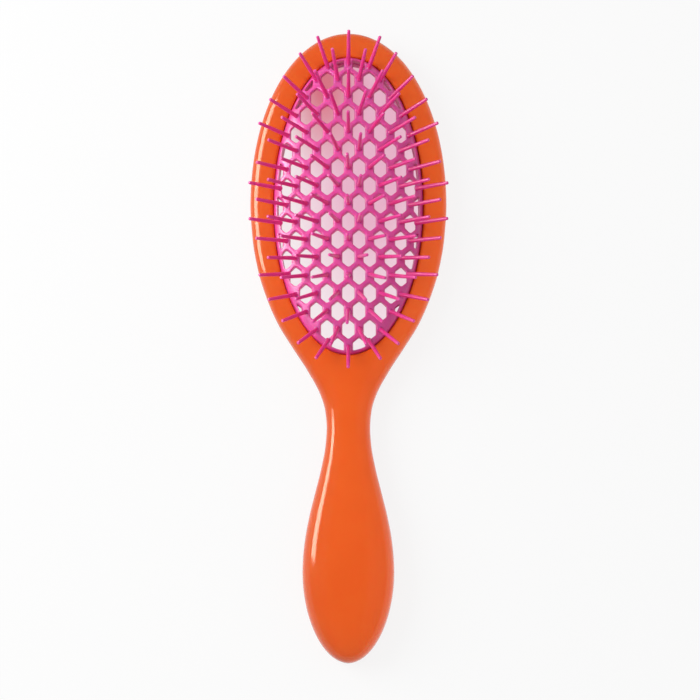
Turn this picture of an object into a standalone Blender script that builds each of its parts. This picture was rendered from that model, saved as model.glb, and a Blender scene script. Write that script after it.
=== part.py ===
"""Oval cushion hair brush: two hollow shells clamp the rim of a domed net that carries the pins.

Metres, +Z up. The brush lies on its back: +Y runs towards the head, and the origin is on the
surface it lies on, under the middle of its length.
"""

import math

import bmesh
import bpy
from mathutils import Vector
from mathutils.geometry import delaunay_2d_cdt

# Overall lengths along the brush
LENGTH = 0.232
HEAD_END_LENGTH = 0.0647
GRIP_END_LENGTH = 0.0322

# Half-widths of the outline
HEAD_HALF_WIDTH = 0.0361
NECK_HALF_WIDTH = 0.0079
GRIP_HALF_WIDTH = 0.01645

# Heights of the front above the seam, and depths of the back below it
SEAM_HEIGHT = 0.0055
HEAD_FRONT_RISE = 0.0090
NECK_FRONT_RISE = 0.0070
GRIP_FRONT_RISE = 0.0120
HEAD_BACK_DROP = 0.0095
NECK_BACK_DROP = 0.0042
GRIP_BACK_DROP = 0.0060

# Shell details
SHELL_WALL = 0.0022
FITTING_GAP = 0.0003
CUT_OVERRUN = 0.002
PEG_RADIUS = 0.0018
PEG_REACH = 0.0030
SOCKET_WALL = 0.0013

# Oval opening in the head, and the body left at its sides, at its head end and down to the neck
OPENING_HALF_LENGTH = 0.0558
OPENING_SIDE_MARGIN = 0.0088
OPENING_HEAD_MARGIN = 0.0104
OPENING_NECK_MARGIN = 0.0257
LIP_RADIUS = 0.0015

# Flange and skirt of the pad
FLANGE_THICKNESS = 0.0015
FLANGE_REACH = 0.0034
SKIRT_THICKNESS = 0.0012
SKIRT_CLEARANCE = 0.0005
SKIRT_HEIGHT = 0.0026

# Domed net
PAD_CLEARANCE = 0.0007
PAD_CROWN = 0.0105
PAD_EDGE_HEIGHT = 0.0012
PAD_WALL = 0.0020
PAD_RIM_WIDTH = 0.0015
COLUMN_PITCH = 0.0077
ROW_PITCH = 0.00665
NET_CROWN_SLIP = 0.0015
WINDOW_WIDTH = 0.0047
WINDOW_LENGTH = 0.00735
WINDOW_SIDE = 0.0039
SMALLEST_WINDOW_WIDTH = 0.0009

# Pins
PIN_LENGTH = 0.0138
PIN_ROOT_RADIUS = 0.00078
PIN_TIP_RADIUS = 0.00056
PIN_SIDE_LEAN_LENGTH = 0.0176
PIN_EDGE_DISTANCE = 0.0017

# Shares and exponents of the shapes above
HEAD_TO_NECK_SHARES = (
    (0.0, 1.0), (0.16, 0.968), (0.30, 0.894), (0.43, 0.773), (0.54, 0.630), (0.64, 0.450),
    (0.75, 0.242), (0.855, 0.079), (0.925, 0.019), (1.0, 0.0),
)
NECK_TO_GRIP_SHARES = (
    (0.0, 0.0), (0.115, 0.043), (0.28, 0.220), (0.445, 0.466), (0.61, 0.712), (0.775, 0.898),
    (0.90, 0.978), (1.0, 1.0),
)
HEAD_SECTION_POWER = 3.0
NECK_SECTION_POWER = 2.3
GRIP_SECTION_POWER = 2.5
HEAD_END_POWER = 4.0
GRIP_END_POWER = 2.6
HEAD_OUTLINE_POWER = 2.05
GRIP_OUTLINE_POWER = 1.93
DOME_POWER = 2.3
SIDE_CROWDING_SHARE = 0.05
HEAD_CROWDING_SHARE = 0.015
CROWDING_POWER = 4.0
PIN_FIELD_SHARE = 1.045
WINDOW_FIELD_SHARE = 1.10
PIN_END_LEAN_SHARE = 0.92
PIN_END_LEAN_POWER = 1.7

# Facet counts, the sharpest angle that is shaded smooth, and the share of a gap that merges corners
OUTER_FACETS = 15
CAVITY_FACETS = 9
OUTER_STEPS = (9, 17, 9, 8)
CAVITY_STEPS = (6, 10, 6, 5)
OVAL_FACETS = 56
LIP_FACETS = 3
PEG_FACETS = 12
PIN_SIDES = 5
SMOOTH_ANGLE = math.radians(35)
MERGE_SHARE = 0.001

# Finishes
ORANGE = (0.80, 0.11, 0.018)
PINK = (0.78, 0.08, 0.33)
PLASTIC_ROUGHNESS = 0.18
ELASTOMER_ROUGHNESS = 0.42

# Places along the brush
HEAD_PLACE = LENGTH / 2 - HEAD_END_LENGTH
GRIP_PLACE = GRIP_END_LENGTH - LENGTH / 2
OPENING_PLACE = LENGTH / 2 - OPENING_HEAD_MARGIN - OPENING_HALF_LENGTH
OPENING_NECK_EDGE = OPENING_PLACE - OPENING_HALF_LENGTH
NECK_PLACE = OPENING_NECK_EDGE - OPENING_NECK_MARGIN
NECK_TO_GRIP = NECK_PLACE - GRIP_PLACE

# Levels above the surface that the brush lies on
FRONT_SEAM = SEAM_HEIGHT + FITTING_GAP / 2
BACK_SEAM = SEAM_HEIGHT - FITTING_GAP / 2
FLANGE_TOP = FRONT_SEAM + FLANGE_THICKNESS
SKIRT_TOP = FLANGE_TOP + SKIRT_HEIGHT
PAD_BASE = SKIRT_TOP + FITTING_GAP

# Outlines of the opening and the domed net
OPENING_HALF_WIDTH = HEAD_HALF_WIDTH - OPENING_SIDE_MARGIN
PAD_HALF_WIDTH = OPENING_HALF_WIDTH - PAD_CLEARANCE
PAD_HALF_LENGTH = OPENING_HALF_LENGTH - PAD_CLEARANCE


def clear_scene():
    """Remove every object that the file holds."""
    for thing in list(bpy.data.objects):
        bpy.data.objects.remove(thing, do_unlink=True)


def plain_material(name, colour, roughness):
    """Return a moulded plastic or elastomer of one colour."""
    material = bpy.data.materials.new(name)
    material.use_nodes = True
    shader = material.node_tree.nodes["Principled BSDF"]
    shader.inputs["Base Color"].default_value = (*colour, 1.0)
    shader.inputs["Roughness"].default_value = roughness
    shader.inputs["Metallic"].default_value = 0.0
    return material


def add_object(name, vertices, faces, material=None, origin=(0, 0, 0)):
    """Make a closed mesh object with its faces pointing out and its own origin."""
    mesh = bpy.data.meshes.new(name)
    shift = Vector(origin)
    mesh.from_pydata([Vector(vertex) - shift for vertex in vertices], [], faces)
    shape = bmesh.new()
    shape.from_mesh(mesh)
    bmesh.ops.recalc_face_normals(shape, faces=shape.faces)
    shape.to_mesh(mesh)
    shape.free()
    mesh.shade_smooth()
    mesh.set_sharp_from_angle(angle=SMOOTH_ANGLE)
    if material:
        mesh.materials.append(material)
    thing = bpy.data.objects.new(name, mesh)
    thing.location = origin
    bpy.context.scene.collection.objects.link(thing)
    return thing


def boolean(thing, other, operation="DIFFERENCE"):
    """Cut another object out of this one, or join it on, and hide the other one."""
    modifier = thing.modifiers.new(other.name, "BOOLEAN")
    modifier.operation = operation
    modifier.solver = "EXACT"
    modifier.object = other
    other.hide_render = True
    other.display_type = "WIRE"


def power_arc(share, power):
    """Return the height, as a share, of a superellipse at this share of its half-width."""
    return max(1.0 - min(abs(share), 1.0) ** power, 0.0) ** (1.0 / power)


def smooth_share(points, place):
    """Read a smooth curve, with no overshoot, through rows of (place, value)."""
    slopes = [(b[1] - a[1]) / (b[0] - a[0]) for a, b in zip(points, points[1:])]
    tangents = [0.0]
    for before, after in zip(slopes, slopes[1:]):
        tangents.append(2 * before * after / (before + after) if before * after > 0 else 0.0)
    tangents.append(0.0)
    index = 0
    while index < len(slopes) - 1 and place > points[index + 1][0]:
        index += 1
    span = points[index + 1][0] - points[index][0]
    step = (place - points[index][0]) / span
    back = 1 - step
    return (
        points[index][1] * (1 + 2 * step) * back**2
        + points[index + 1][1] * (3 - 2 * step) * step**2
        + span * step * back * (tangents[index] * back - tangents[index + 1] * step)
    )


def blend(first, second, share):
    """Mix two rows of sizes."""
    return [a * share + b * (1 - share) for a, b in zip(first, second)]


def body_stations(steps, inset):
    """Return rows of (y, half-width, front rise, back drop, power) from the head's tip to the grip's.

    inset draws every skin in by one distance, for the hollow inside the shells.
    """
    head = (HEAD_HALF_WIDTH - inset, HEAD_FRONT_RISE - inset, HEAD_BACK_DROP - inset, HEAD_SECTION_POWER)
    neck = (NECK_HALF_WIDTH - inset, NECK_FRONT_RISE - inset, NECK_BACK_DROP - inset, NECK_SECTION_POWER)
    grip = (GRIP_HALF_WIDTH - inset, GRIP_FRONT_RISE - inset, GRIP_BACK_DROP - inset, GRIP_SECTION_POWER)
    rows = []
    for step in range(1, steps[0] + 1):
        angle = math.pi / 2 * step / (steps[0] + 1)
        powers = (HEAD_OUTLINE_POWER, HEAD_END_POWER)
        rows.append(end_station(HEAD_PLACE, HEAD_END_LENGTH - inset, angle, head, powers))
    for step in range(steps[1]):
        share = step / steps[1]
        place = HEAD_PLACE + (NECK_PLACE - HEAD_PLACE) * share
        rows.append([place] + blend(head, neck, smooth_share(HEAD_TO_NECK_SHARES, share)))
    for step in range(steps[2] + 1):
        share = step / steps[2]
        place = NECK_PLACE + (GRIP_PLACE - NECK_PLACE) * share
        rows.append([place] + blend(grip, neck, smooth_share(NECK_TO_GRIP_SHARES, share)))
    for step in range(steps[3], 0, -1):
        angle = math.pi / 2 * step / (steps[3] + 1)
        powers = (GRIP_OUTLINE_POWER, GRIP_END_POWER)
        rows.append(end_station(GRIP_PLACE, inset - GRIP_END_LENGTH, angle, grip, powers))
    return rows


def end_station(place, reach, angle, sizes, powers):
    """Return one station of a rounded end, with the powers of its outline and of its height."""
    outline_power, height_power = powers
    share = math.cos(angle) ** (2 / outline_power)
    half_width, rise, drop, section_power = sizes
    half_width *= power_arc(share, outline_power)
    height = power_arc(share, height_power)
    return [place + reach * share, half_width, rise * height, drop * height, section_power]


def half_body(name, facets, steps, inset, front, material=None):
    """Loft the front or the back half of the body; a hollow runs past the seam by the overrun."""
    seam = FRONT_SEAM if front else BACK_SEAM
    side = 1 if front else -1
    skirt = seam - side * CUT_OVERRUN if inset else seam
    tips = [HEAD_PLACE + HEAD_END_LENGTH - inset, GRIP_PLACE - GRIP_END_LENGTH + inset]
    vertices = []
    for place, half_width, rise, drop, power in body_stations(steps, inset):
        height = rise if front else drop
        for facet in range(facets + 1):
            angle = math.pi * facet / facets
            level = seam + side * height * math.sin(angle) ** (2 / power)
            across = math.copysign(abs(math.cos(angle)) ** (2 / power), math.cos(angle))
            if facet in (0, facets):
                level = skirt
                across = round(across)
            vertices.append((half_width * across, place, level))
    ring = facets + 1
    count = len(vertices) // ring
    faces = []
    for row in range(count - 1):
        for point in range(ring):
            other = (point + 1) % ring
            first = row * ring
            faces.append((first + point, first + other, first + ring + other, first + ring + point))
    for tip, row in zip(tips, (0, count - 1)):
        vertices.append((0, tip, skirt))
        for point in range(ring):
            faces.append((row * ring + point, row * ring + (point + 1) % ring, len(vertices) - 1))
    return add_object(name, vertices, faces, material)


def ground(name, top):
    """Make a block under the whole brush, up to one level, that cuts a flat underside."""
    across = max(HEAD_HALF_WIDTH, NECK_HALF_WIDTH, GRIP_HALF_WIDTH) + CUT_OVERRUN
    along = LENGTH / 2 + CUT_OVERRUN
    bottom = -max(HEAD_BACK_DROP, NECK_BACK_DROP, GRIP_BACK_DROP) - CUT_OVERRUN
    corners = ((-across, -along), (across, -along), (across, along), (-across, along))
    vertices = [(*corner, level) for level in (bottom, top) for corner in corners]
    faces = [(0, 1, 2, 3), (4, 5, 6, 7), (0, 1, 5, 4), (1, 2, 6, 5), (2, 3, 7, 6), (3, 0, 4, 7)]
    return add_object(name, vertices, faces)


def oval_angles(count):
    """Return even angles round a circle, with no corner on the brush's centre line."""
    return [2 * math.pi * (step + 0.5) / count for step in range(count)]


def oval_solid(name, profile, material=None, closed_ring=False):
    """Sweep rows of (offset from the opening's edge, level) round the opening.

    A closed ring is a hollow loop. Otherwise the first and last rows are closed by flat faces.
    """
    vertices = []
    for offset, level in profile:
        for angle in oval_angles(OVAL_FACETS):
            across = (OPENING_HALF_WIDTH + offset) * math.cos(angle)
            along = OPENING_PLACE + (OPENING_HALF_LENGTH + offset) * math.sin(angle)
            vertices.append((across, along, level))
    rows = len(profile)
    faces = []
    for row in range(rows if closed_ring else rows - 1):
        low = row * OVAL_FACETS
        high = (row + 1) % rows * OVAL_FACETS
        for facet in range(OVAL_FACETS):
            after = (facet + 1) % OVAL_FACETS
            faces.append((low + facet, low + after, high + after, high + facet))
    if not closed_ring:
        faces.append(tuple(range(OVAL_FACETS)))
        faces.append(tuple(range((rows - 1) * OVAL_FACETS, rows * OVAL_FACETS)))
    return add_object(name, vertices, faces, material)


def post(name, place, radius, low, high):
    """Make an upright round post on the brush's centre line."""
    around = [(radius * math.cos(angle), radius * math.sin(angle)) for angle in oval_angles(PEG_FACETS)]
    vertices = [(across, along, level) for level in (0.0, high - low) for across, along in around]
    faces = [tuple(range(PEG_FACETS)), tuple(range(PEG_FACETS, 2 * PEG_FACETS))]
    for side in range(PEG_FACETS):
        after = (side + 1) % PEG_FACETS
        faces.append((side, after, after + PEG_FACETS, side + PEG_FACETS))
    thing = add_object(name, vertices, faces)
    thing.location = (0, place, low)
    return thing


def skins_at(place):
    """Return the levels of the front and the back on the centre line of the neck or grip."""
    neck = (NECK_FRONT_RISE, NECK_BACK_DROP)
    if place > NECK_PLACE:
        share = smooth_share(HEAD_TO_NECK_SHARES, (HEAD_PLACE - place) / (HEAD_PLACE - NECK_PLACE))
        rise, drop = blend((HEAD_FRONT_RISE, HEAD_BACK_DROP), neck, share)
    else:
        share = smooth_share(NECK_TO_GRIP_SHARES, (NECK_PLACE - place) / NECK_TO_GRIP)
        rise, drop = blend((GRIP_FRONT_RISE, GRIP_BACK_DROP), neck, share)
    return FRONT_SEAM + rise, max(BACK_SEAM - drop, 0)


def peg_places():
    """Return the places of the pegs that join the shells: web, middle of the handle and grip."""
    web = (OPENING_NECK_EDGE + NECK_PLACE) / 2
    return (web, (NECK_PLACE + GRIP_PLACE) / 2, GRIP_PLACE)


def make_shells(materials):
    """Build the two hollow shells with the oval opening, the flange slot, the pegs and their sockets."""
    top = FRONT_SEAM + HEAD_FRONT_RISE + CUT_OVERRUN
    edge_share = power_arc(OPENING_HALF_WIDTH / HEAD_HALF_WIDTH, HEAD_SECTION_POWER)
    lip_top = FRONT_SEAM + HEAD_FRONT_RISE * edge_share
    lip = []
    for facet in range(LIP_FACETS + 1):
        angle = math.pi / 2 * facet / LIP_FACETS
        offset = LIP_RADIUS * (1 - math.cos(angle))
        lip.append((offset, lip_top - LIP_RADIUS * (1 - math.sin(angle))))
    opening = oval_solid("opening", [(0, -CUT_OVERRUN)] + lip + [(LIP_RADIUS, top)])
    core = oval_solid("core", [(SHELL_WALL, -CUT_OVERRUN), (SHELL_WALL, top)])
    slot_reach = FLANGE_REACH + FITTING_GAP
    slot = oval_solid("slot", [(slot_reach, BACK_SEAM - CUT_OVERRUN), (slot_reach, FLANGE_TOP + FITTING_GAP)])

    for name, front in (("front_shell", True), ("back_shell", False)):
        shell = half_body(name, OUTER_FACETS, OUTER_STEPS, 0, front, materials[name])
        hollow = half_body(name + "_hollow", CAVITY_FACETS, CAVITY_STEPS, SHELL_WALL, front)
        boolean(hollow, core)
        if not front:
            boolean(hollow, ground("floor", SHELL_WALL))
            boolean(shell, ground("underside", 0))
        boolean(shell, hollow)
        boolean(shell, opening)
        if front:
            boolean(shell, slot)
        for number, place in enumerate(peg_places(), start=1):
            add_fastening(shell, number, place, front)


def add_fastening(shell, number, place, front):
    """Join a peg to the back shell, or a socket for it to the front shell."""
    bore_radius = PEG_RADIUS + FITTING_GAP
    front_level, back_level = skins_at(place)
    if front:
        inside = front_level - SHELL_WALL / 2
        socket = post(f"socket_{number}", place, bore_radius + SOCKET_WALL, FRONT_SEAM, inside)
        bore = post(f"bore_{number}", place, bore_radius, FRONT_SEAM - CUT_OVERRUN, FRONT_SEAM + PEG_REACH)
        boolean(shell, socket, "UNION")
        boolean(shell, bore)
    else:
        reach = FRONT_SEAM + PEG_REACH - FITTING_GAP
        boolean(shell, post(f"peg_{number}", place, PEG_RADIUS, back_level + SHELL_WALL / 2, reach), "UNION")


def make_pad_rim(material):
    """Build the flange that the shells clamp, with the thin skirt that carries the net."""
    outer = -SKIRT_CLEARANCE
    inner = outer - SKIRT_THICKNESS
    profile = [
        (inner, FRONT_SEAM), (FLANGE_REACH, FRONT_SEAM), (FLANGE_REACH, FLANGE_TOP),
        (outer, FLANGE_TOP), (outer, SKIRT_TOP), (inner, SKIRT_TOP),
    ]
    oval_solid("pad_rim", profile, material, closed_ring=True)


def dome_height(across, along, half_width, half_length, crown):
    """Return the height of a dome over a place measured from the middle of the opening."""
    return crown * power_arc(math.hypot(across / half_width, along / half_length), DOME_POWER)


def net_top(across, along):
    """Return the level of the net's front face."""
    crown = PAD_CROWN - PAD_EDGE_HEIGHT
    rise = dome_height(across, along, PAD_HALF_WIDTH, PAD_HALF_LENGTH, crown)
    return PAD_BASE + PAD_EDGE_HEIGHT + rise


def net_under(across, along):
    """Return the level of the net's hollow side."""
    half_width = PAD_HALF_WIDTH - PAD_RIM_WIDTH
    half_length = PAD_HALF_LENGTH - PAD_RIM_WIDTH
    return PAD_BASE + dome_height(across, along, half_width, half_length, PAD_CROWN - PAD_WALL)


def net_place(column, row):
    """Return the place of a column and row of the net, closer together at the sides and the head's tip."""
    across = column * COLUMN_PITCH
    along = row * ROW_PITCH
    across_share = abs(across / PAD_HALF_WIDTH)
    along_share = along / PAD_HALF_LENGTH
    slip = NET_CROWN_SLIP * (1 - along_share**2)
    return Vector((
        across * (1 - SIDE_CROWDING_SHARE * across_share**CROWDING_POWER),
        along * (1 - HEAD_CROWDING_SHARE * max(along_share, 0) ** CROWDING_POWER) - slip,
    ))


def net_nodes(pins):
    """Yield the (column, row) of each pin, or of each window, that the net has room for."""
    field_share = PIN_FIELD_SHARE if pins else WINDOW_FIELD_SHARE
    rows = math.ceil(PAD_HALF_LENGTH / ROW_PITCH)
    columns = math.ceil(PAD_HALF_WIDTH / COLUMN_PITCH)
    for row in range(-rows, rows + 1):
        half_step = (row % 2 == 1) == pins
        for column in range(-columns, columns + 1):
            place = column + 0.5 if half_step else column
            spread = math.hypot(place * COLUMN_PITCH / PAD_HALF_WIDTH, row * ROW_PITCH / PAD_HALF_LENGTH)
            if spread < field_share:
                yield place, row


def window_outline(column, row):
    """Return the six corners of a window, with its upright sides along the brush."""
    half_width = WINDOW_WIDTH / 2 / COLUMN_PITCH
    half_length = WINDOW_LENGTH / 2 / ROW_PITCH
    half_side = WINDOW_SIDE / 2 / ROW_PITCH
    corners = (
        (half_width, half_side), (0, half_length), (-half_width, half_side),
        (-half_width, -half_side), (0, -half_length), (half_width, -half_side),
    )
    return [net_place(column + across, row + along) for across, along in corners]


def pin_axis(column, row):
    """Return the root of a pin on the dome, the way it leans, and the dome's normal there."""
    place = net_place(column, row)
    spread = math.hypot(
        place.x / (PAD_HALF_WIDTH - PIN_EDGE_DISTANCE), place.y / (PAD_HALF_LENGTH - PIN_EDGE_DISTANCE)
    )
    place /= max(spread, 1.0)
    side_lean = place.x / PIN_SIDE_LEAN_LENGTH
    end_share = abs(place.y) / PAD_HALF_LENGTH
    end_lean = math.copysign(PIN_END_LEAN_SHARE * end_share**PIN_END_LEAN_POWER, place.y)
    lean = Vector((side_lean, end_lean, 1.0)).normalized()
    reach = PIN_ROOT_RADIUS
    slope_x = (net_top(place.x + reach, place.y) - net_top(place.x - reach, place.y)) / (2 * reach)
    slope_y = (net_top(place.x, place.y + reach) - net_top(place.x, place.y - reach)) / (2 * reach)
    normal = Vector((-slope_x, -slope_y, 1.0)).normalized()
    return Vector((place.x, place.y, net_top(place.x, place.y))), lean, normal


def pin_ring(centre, lean, radius):
    """Return the corners of a pin's section, square to the way it leans."""
    first = lean.cross(Vector((0, 1, 0))).normalized()
    second = lean.cross(first)
    corners = []
    for side in range(PIN_SIDES):
        angle = 2 * math.pi * side / PIN_SIDES
        corners.append(centre + radius * (first * math.cos(angle) + second * math.sin(angle)))
    return corners


def pin_root_outline(root, lean, normal):
    """Return the plan of a pin's root where the pin meets the dome."""
    outline = []
    for corner in pin_ring(root, lean, PIN_ROOT_RADIUS):
        seated = corner - lean * ((corner - root).dot(normal) / lean.dot(normal))
        outline.append(Vector((seated.x, seated.y)))
    return outline


def oval_outline(half_width, half_length):
    """Return an oval in plan round the middle of the opening."""
    angles = oval_angles(OVAL_FACETS)
    return [Vector((half_width * math.cos(angle), half_length * math.sin(angle))) for angle in angles]


def clip_to_oval(outline, half_width, half_length):
    """Return the part of a convex outline that lies inside an oval round the middle of the opening."""
    edge = oval_outline(half_width, half_length)
    for start, end in zip(edge, edge[1:] + edge[:1]):
        side = end - start
        inside = [side.cross(point - start) for point in outline]
        clipped = []
        for index, point in enumerate(outline):
            before = index - 1
            if (inside[index] > 0) != (inside[before] > 0):
                share = inside[before] / (inside[before] - inside[index])
                clipped.append(outline[before].lerp(point, share))
            if inside[index] > 0:
                clipped.append(point)
        outline = clipped
    return outline


def narrowest(outline):
    """Return roughly how wide an outline is: its area over half of its way round."""
    area = 0.0
    around = 0.0
    for index, point in enumerate(outline):
        area += outline[index - 1].cross(point) / 2
        around += (point - outline[index - 1]).length
    return 2 * area / around if around else 0.0


def net_windows():
    """Return the outlines of the windows, cut off where they reach the net's solid rim."""
    half_width = PAD_HALF_WIDTH - PAD_RIM_WIDTH
    half_length = PAD_HALF_LENGTH - PAD_RIM_WIDTH
    clipped = [clip_to_oval(window_outline(*node), half_width, half_length) for node in net_nodes(pins=False)]
    return [outline for outline in clipped if narrowest(outline) > SMALLEST_WINDOW_WIDTH]


def net_plan(pins):
    """Triangulate the net's plan: an oval with its windows cut out and the pins' roots let in.

    Returns the places, the kept triangles with the number of the pin that each belongs to or None,
    and the sides of each pin's root, which hold more than two places where a window meets the root.
    """
    windows = net_windows()
    outlines = [oval_outline(PAD_HALF_WIDTH, PAD_HALF_LENGTH)] + windows
    first_root = len(outlines)
    outlines += [pin_root_outline(*pin) for pin in pins]
    points = []
    loops = []
    for outline in outlines:
        loops.append(list(range(len(points), len(points) + len(outline))))
        points.extend(outline)
    places, _, triangles, sources, _, owners = delaunay_2d_cdt(
        [point / LENGTH for point in points], [], loops, 1, FITTING_GAP / LENGTH * MERGE_SHARE
    )
    places = [place * LENGTH for place in places]
    kept = []
    for triangle, owner in zip(triangles, owners):
        root = max(owner) - first_root if max(owner) >= first_root else None
        if root is not None or max(owner) == 0:
            kept.append((triangle, root))
    found = {point: index for index, origins in enumerate(sources) for point in origins}
    sides = []
    for number, loop in enumerate(loops[first_root:]):
        corners = [found[point] for point in loop]
        inside = [triangle for triangle, root in kept if root == number]
        sides.append(root_sides(corners, inside))
    return places, kept, sides


def root_sides(corners, triangles):
    """Return the run of places from each corner of a pin's root to the next."""
    edges = set()
    for triangle in triangles:
        edges.update(zip(triangle, triangle[1:] + triangle[:1]))
    follow = {start: end for start, end in edges if (end, start) not in edges}
    sides = []
    for corner, after in zip(corners, corners[1:] + corners[:1]):
        side = [corner]
        while side[-1] != after:
            side.append(follow[side[-1]])
        sides.append(side)
    return sides


def make_pin_pad(material):
    """Build the domed net with its windows and all its pins as one moulding."""
    pins = [pin_axis(*node) for node in net_nodes(pins=True)]
    places, kept, roots = net_plan(pins)
    used = sorted({index for triangle, _ in kept for index in triangle})
    number = {index: count for count, index in enumerate(used)}
    below = len(used)
    vertices = [(places[i].x, places[i].y, net_top(*places[i])) for i in used]
    vertices += [(places[i].x, places[i].y, net_under(*places[i])) for i in used]

    faces = []
    edges = set()
    for triangle, root in kept:
        corners = [number[index] for index in triangle]
        if root is None:
            faces.append(tuple(corners))
        faces.append(tuple(corner + below for corner in reversed(corners)))
        edges.update(zip(corners, corners[1:] + corners[:1]))
    for start, end in sorted(edges):
        if (end, start) not in edges:
            faces.append((start, start + below, end + below, end))
    for (root, lean, _), sides in zip(pins, roots):
        add_pin(vertices, faces, root, lean, [[number[index] for index in side] for side in sides])

    middle = Vector((0, OPENING_PLACE, 0))
    vertices = [Vector(vertex) + middle for vertex in vertices]
    add_object("pin_pad", vertices, faces, material, origin=(0, OPENING_PLACE, PAD_BASE))


def add_pin(vertices, faces, root, lean, sides):
    """Raise one tapered pin with a rounded tip from the sides of its root on the net."""
    tip = root + lean * PIN_LENGTH
    shoulder = tip - lean * PIN_TIP_RADIUS
    for centre, radius in ((shoulder, PIN_TIP_RADIUS), (tip, PIN_TIP_RADIUS / 2)):
        upper = list(range(len(vertices), len(vertices) + PIN_SIDES))
        vertices.extend(tuple(corner) for corner in pin_ring(centre, lean, radius))
        after = upper[1:] + upper[:1]
        for side, here, there in zip(sides, upper, after):
            faces.append((*side, there, here))
        sides = list(zip(upper, after))
    faces.append(tuple(upper))


def main():
    """Build the whole brush."""
    clear_scene()
    materials = {
        name: plain_material(name, colour, roughness)
        for name, colour, roughness in (
            ("front_shell", ORANGE, PLASTIC_ROUGHNESS),
            ("back_shell", ORANGE, PLASTIC_ROUGHNESS),
            ("pad_rim", PINK, ELASTOMER_ROUGHNESS),
            ("pin_pad", PINK, ELASTOMER_ROUGHNESS),
        )
    }
    make_shells(materials)
    make_pad_rim(materials["pad_rim"])
    make_pin_pad(materials["pin_pad"])


main()
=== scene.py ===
"""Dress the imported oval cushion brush: glossy orange shells round a satin pink net with splayed pins."""

import logging
import math
from dataclasses import dataclass, field
from enum import Enum
from typing import Sequence

import bmesh
import bpy
import numpy as np
from mathutils import Euler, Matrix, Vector
from mathutils.geometry import delaunay_2d_cdt


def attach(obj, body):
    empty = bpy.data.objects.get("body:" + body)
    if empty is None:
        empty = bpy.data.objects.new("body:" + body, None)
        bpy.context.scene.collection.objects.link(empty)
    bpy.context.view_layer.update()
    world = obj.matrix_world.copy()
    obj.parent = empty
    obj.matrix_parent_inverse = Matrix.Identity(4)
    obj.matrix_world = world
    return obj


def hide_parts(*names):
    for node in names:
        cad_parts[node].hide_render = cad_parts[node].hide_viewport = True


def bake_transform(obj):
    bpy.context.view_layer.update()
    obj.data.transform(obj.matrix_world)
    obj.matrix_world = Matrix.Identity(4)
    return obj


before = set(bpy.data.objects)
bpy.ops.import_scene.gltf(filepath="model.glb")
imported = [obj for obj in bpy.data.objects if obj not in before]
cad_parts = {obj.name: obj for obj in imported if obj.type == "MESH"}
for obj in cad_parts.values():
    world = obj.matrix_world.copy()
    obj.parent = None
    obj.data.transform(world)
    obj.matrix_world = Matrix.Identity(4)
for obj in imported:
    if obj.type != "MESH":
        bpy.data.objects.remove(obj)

Socket = bpy.types.NodeSocket
Thing = bpy.types.Object
Pair = tuple[float, float]
Triple = tuple[float, float, float]

LOG = logging.getLogger("brush")
MM = 0.001
TINY = 1e-9
# Mesh attribute that deepens the elastomer's colour: on solid parts, and as painted shade along the net's
# edge.
SOLIDITY_AND_SHADE = "thickness"
WHITE = (1.0, 1.0, 1.0)


class Half(Enum):
    """The two moulded halves of the body: the side of the seam that each lies on."""

    FRONT = 1
    BACK = -1


class Lit(Enum):
    """What a lamp lights."""

    ALL = "all"
    SHELLS = "shells"
    PAD = "pad"


class Slot(Enum):
    """The material slots."""

    FRONT = "front_plastic"
    BACK = "back_plastic"
    RIM = "rim_elastomer"
    NET = "net_elastomer"


# --------------------------------------------------------------------------------------------------
# Finishes
# --------------------------------------------------------------------------------------------------


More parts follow.
